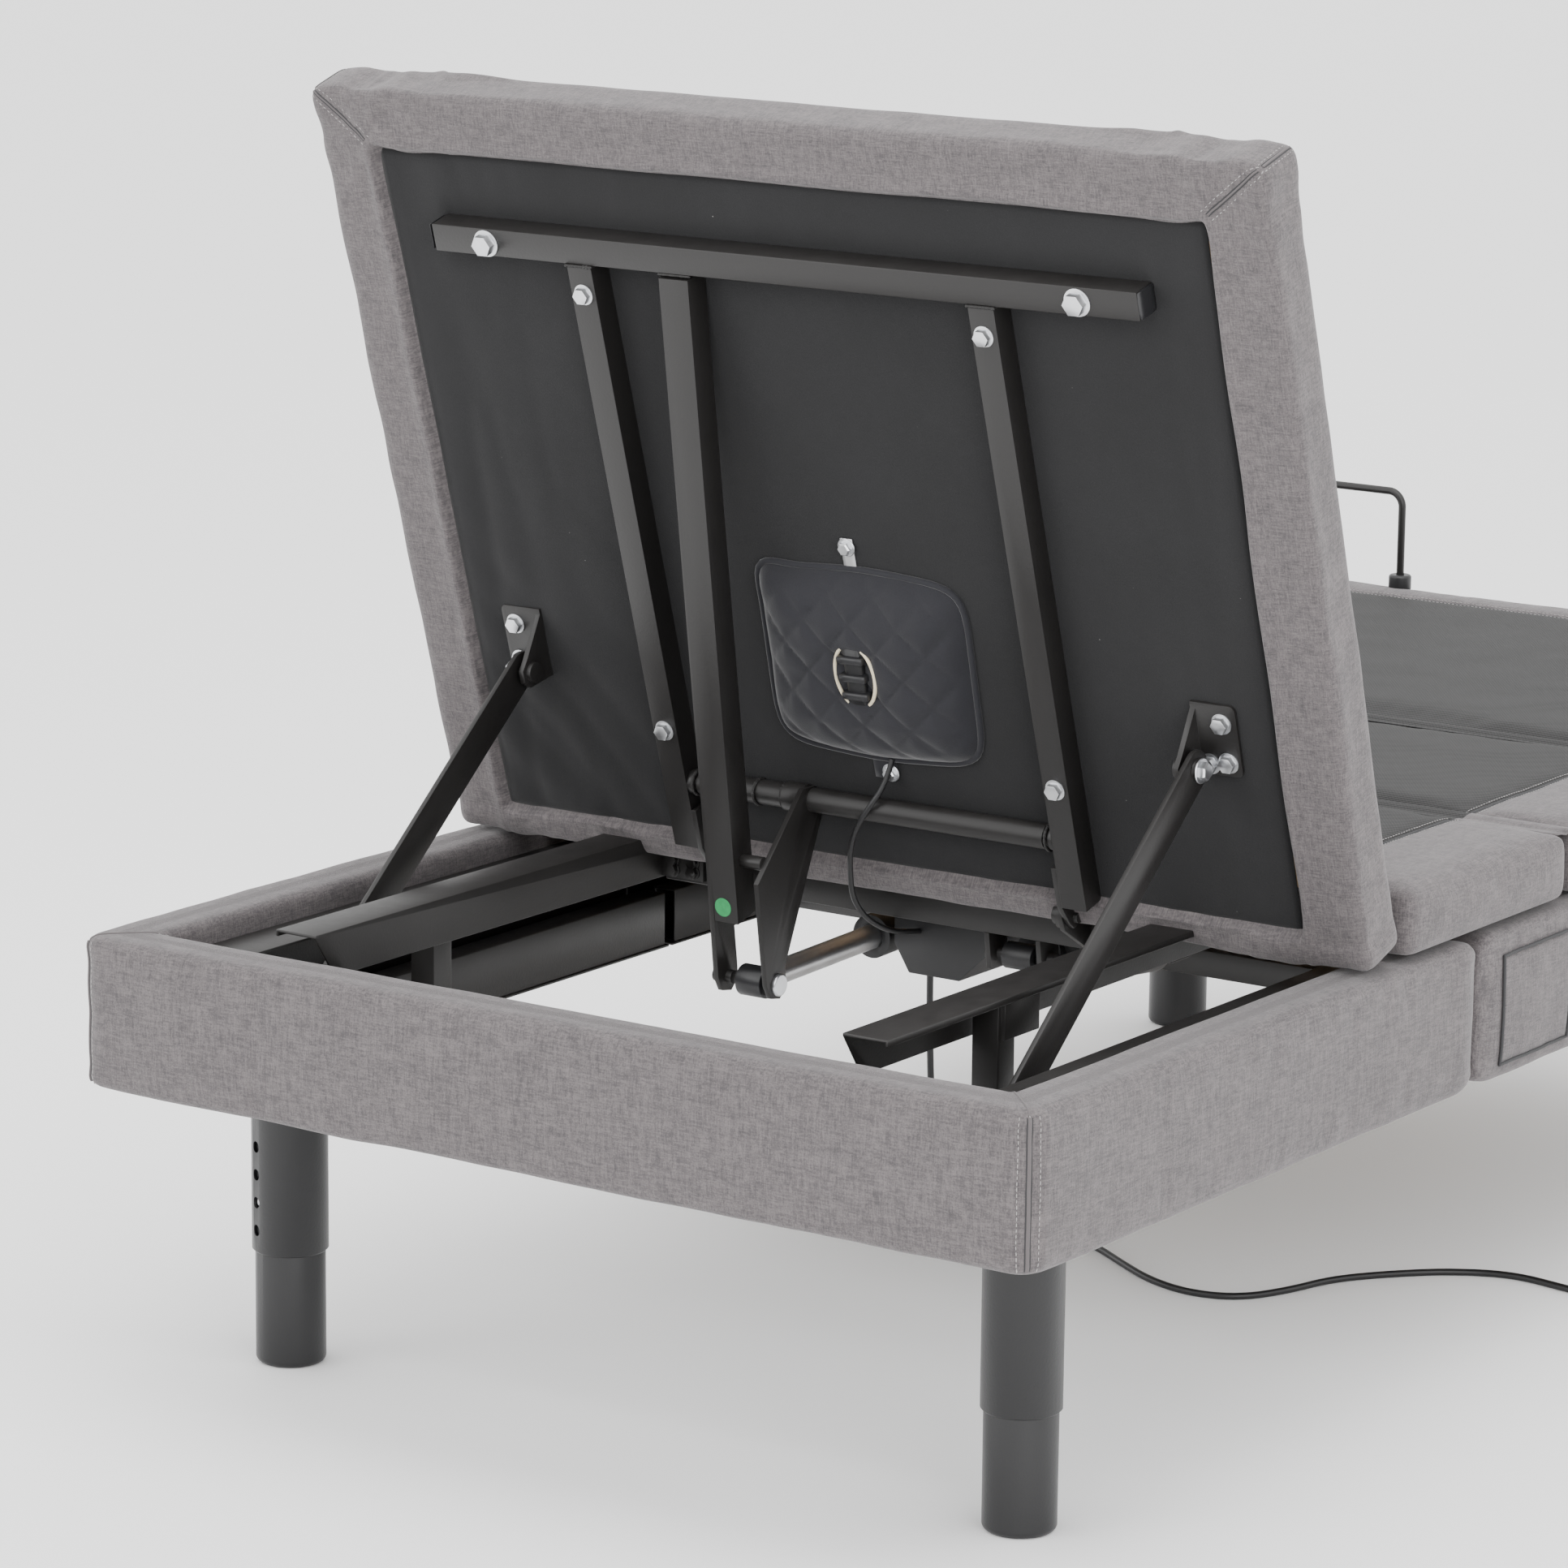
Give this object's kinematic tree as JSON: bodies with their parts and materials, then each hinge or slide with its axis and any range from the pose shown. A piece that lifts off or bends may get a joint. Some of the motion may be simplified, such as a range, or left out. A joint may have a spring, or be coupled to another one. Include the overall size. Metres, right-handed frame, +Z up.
{
  "type": "adjustable bed base",
  "caption": "Upholstered twin XL adjustable bed base on legs, with a powered head section that raises, a thigh and foot section that bends, and a carriage that rolls on rails.",
  "frame": {"origin": "on the floor under the middle of the bed's outline, head section raised", "axes": "+Z up, +Y from the head end to the foot end, +X to the right seen from behind the head end"},
  "size_m": [1.0655, 1.838, 1.1108],
  "materials": {
    "upholstery": "mid-grey heather woven upholstery, matte",
    "board": "plain board",
    "dust_cloth": "thin black non-woven cloth",
    "pouch_cloth": "black quilted cloth",
    "frame_steel": "brown-black satin powder coat",
    "leg_steel": "black satin powder coat",
    "bright_steel": "bright steel",
    "bolt_steel": "zinc-plated steel",
    "black_plastic": "moulded black plastic",
    "roller_plastic": "black nylon",
    "cord": "black flexible cable sheath"
  },
  "bodies": {
    "root": {"base_boards": "board", "base_cover_head": "upholstery", "base_cover_foot": "upholstery", "base_channels": "frame_steel", "base_lower_tubes": "frame_steel", "rail_posts": "frame_steel", "base_brackets": "frame_steel", "leg_sleeves": "leg_steel", "power_supply": "black_plastic", "power_cord": "cord", "power_cord_coil": "cord", "power_plug": "black_plastic"},
    "rail_rollers_head": {"rail_rollers_head": "roller_plastic"},
    "rail_rollers_foot": {"rail_rollers_foot": "roller_plastic"},
    "carriage": {"guide_rails": "frame_steel", "carriage_tubes": "frame_steel", "carriage_brackets": "frame_steel", "carriage_ears": "frame_steel", "seat_cover": "upholstery", "seat_board": "board", "control_box": "black_plastic", "motor_cable_lower": "cord"},
    "head": {"head_cover": "upholstery", "head_board": "board", "head_cloth": "dust_cloth", "head_lift_tubes": "frame_steel", "head_crossbar": "frame_steel", "torque_tube": "frame_steel", "lift_lever": "frame_steel", "lever_gusset": "frame_steel", "clevis_pin": "bright_steel", "strut_brackets": "frame_steel", "head_bolts": "bolt_steel", "massage_motor": "black_plastic", "motor_pouch": "pouch_cloth", "motor_strap": "pouch_cloth", "motor_cable_upper": "cord"},
    "strut_left": {"strut_left": "frame_steel"},
    "strut_right": {"strut_right": "frame_steel"},
    "head_actuator": {"head_actuator": "black_plastic"},
    "head_actuator_rod": {"head_actuator_rod": "bright_steel"},
    "foot_actuator": {"foot_actuator": "black_plastic"},
    "foot_actuator_rod": {"foot_actuator_rod": "bright_steel"},
    "thigh": {"thigh_cover": "upholstery", "thigh_board": "board", "thigh_frame": "frame_steel"},
    "foot": {"foot_cover": "upholstery", "foot_board": "board", "foot_frame": "frame_steel", "mattress_hoops": "frame_steel", "hoop_clips": "black_plastic"},
    "foot_links": {"foot_links": "frame_steel"},
    "leg_head_left": {"leg_head_left": "leg_steel"},
    "leg_button_head_left": {"leg_button_head_left": "bright_steel"},
    "leg_head_right": {"leg_head_right": "leg_steel"},
    "leg_button_head_right": {"leg_button_head_right": "bright_steel"},
    "leg_foot_left": {"leg_foot_left": "leg_steel"},
    "leg_button_foot_left": {"leg_button_foot_left": "bright_steel"},
    "leg_foot_right": {"leg_foot_right": "leg_steel"},
    "leg_button_foot_right": {"leg_button_foot_right": "bright_steel"}
  },
  "joints": [
    {"name": "carriage_slide", "type": "slide", "parent": "root", "child": "carriage", "axis": [0, 1, 0], "range_m": [0, 0.19326]},
    {"name": "head_lift", "type": "hinge", "parent": "carriage", "child": "head", "pos_m": [0, -0.3956, 0.41], "axis": [-1, 0, 0], "range_deg": [-73, 0], "deforming": ["motor_cable_upper"]},
    {"name": "strut_left_swing", "type": "hinge", "parent": "head", "child": "strut_left", "pos_m": [-0.35, -0.46905, 0.57159], "axis": [1, 0, 0], "range_deg": [-101.39, 0]},
    {"name": "strut_right_swing", "type": "hinge", "parent": "head", "child": "strut_right", "pos_m": [0.35, -0.46905, 0.57159], "axis": [1, 0, 0], "range_deg": [-101.39, 0]},
    {"name": "head_actuator_swing", "type": "hinge", "parent": "carriage", "child": "head_actuator", "pos_m": [-0.085, 0.1044, 0.345], "axis": [1, 0, 0], "range_deg": [0, 3.24]},
    {"name": "head_actuator_stroke", "type": "slide", "parent": "head_actuator", "child": "head_actuator_rod", "axis": [0, 0.9996, 0.0287], "range_m": [0, 0.13539]},
    {"name": "thigh_lift", "type": "hinge", "parent": "carriage", "child": "thigh", "pos_m": [0, -0.039, 0.441], "axis": [1, 0, 0], "range_deg": [0, 35]},
    {"name": "foot_hinge", "type": "hinge", "parent": "thigh", "child": "foot", "pos_m": [0, 0.293, 0.404], "axis": [1, 0, 0], "range_deg": [-52.07, 0]},
    {"name": "foot_link_swing", "type": "hinge", "parent": "carriage", "child": "foot_links", "pos_m": [0, 0.434, 0.35], "axis": [1, 0, 0], "range_deg": [0, 40.72]},
    {"name": "foot_actuator_swing", "type": "hinge", "parent": "carriage", "child": "foot_actuator", "pos_m": [0.105, -0.344, 0.352], "axis": [1, 0, 0], "range_deg": [0, 7.82]},
    {"name": "foot_actuator_stroke", "type": "slide", "parent": "foot_actuator", "child": "foot_actuator_rod", "axis": [0, 0.9954, -0.0953], "range_m": [0, 0.06028]},
    {"name": "head_rollers_spin", "type": "hinge", "parent": "root", "child": "rail_rollers_head", "pos_m": [0, -0.644, 0.3975], "axis": [-1, 0, 0], "range_deg": [0, 738.8]},
    {"name": "foot_rollers_spin", "type": "hinge", "parent": "root", "child": "rail_rollers_foot", "pos_m": [0, 0.416, 0.3975], "axis": [-1, 0, 0], "range_deg": [0, 738.8]},
    {"name": "leg_head_left_height", "type": "slide", "parent": "root", "child": "leg_head_left", "axis": [0, 0, 1], "range_m": [-0.025, 0.05]},
    {"name": "leg_head_left_button_press", "type": "slide", "parent": "leg_head_left", "child": "leg_button_head_left", "axis": [-0.3746, -0.9272, 0], "range_m": [-0.005, 0], "stiffness_N_per_m": 600},
    {"name": "leg_head_right_height", "type": "slide", "parent": "root", "child": "leg_head_right", "axis": [0, 0, 1], "range_m": [-0.025, 0.05]},
    {"name": "leg_head_right_button_press", "type": "slide", "parent": "leg_head_right", "child": "leg_button_head_right", "axis": [0.3746, 0.9272, 0], "range_m": [-0.005, 0], "stiffness_N_per_m": 600},
    {"name": "leg_foot_left_height", "type": "slide", "parent": "root", "child": "leg_foot_left", "axis": [0, 0, 1], "range_m": [-0.025, 0.05]},
    {"name": "leg_foot_left_button_press", "type": "slide", "parent": "leg_foot_left", "child": "leg_button_foot_left", "axis": [-0.3746, 0.9272, 0], "range_m": [-0.005, 0], "stiffness_N_per_m": 600},
    {"name": "leg_foot_right_height", "type": "slide", "parent": "root", "child": "leg_foot_right", "axis": [0, 0, 1], "range_m": [-0.025, 0.05]},
    {"name": "leg_foot_right_button_press", "type": "slide", "parent": "leg_foot_right", "child": "leg_button_foot_right", "axis": [0.3746, 0.9272, 0], "range_m": [-0.005, 0], "stiffness_N_per_m": 600}
  ],
  "couplings": [
    {"joint": "carriage_slide", "follows": "head_lift", "m_per_rad": -0.1516},
    {"joint": "strut_left_swing", "follows": "head_lift", "ratio": 1.3885},
    {"joint": "strut_right_swing", "follows": "head_lift", "ratio": 1.3885},
    {"joint": "head_actuator_swing", "follows": "head_lift", "ratio": -0.04415},
    {"joint": "head_actuator_stroke", "follows": "head_lift", "m_per_rad": -0.10622},
    {"joint": "head_rollers_spin", "follows": "head_lift", "ratio": -10.107},
    {"joint": "foot_rollers_spin", "follows": "head_lift", "ratio": -10.107},
    {"joint": "foot_hinge", "follows": "thigh_lift", "ratio": -1.4857},
    {"joint": "foot_link_swing", "follows": "thigh_lift", "ratio": 1.1617},
    {"joint": "foot_actuator_swing", "follows": "thigh_lift", "ratio": 0.22279},
    {"joint": "foot_actuator_stroke", "follows": "thigh_lift", "m_per_rad": 0.098592}
  ]
}
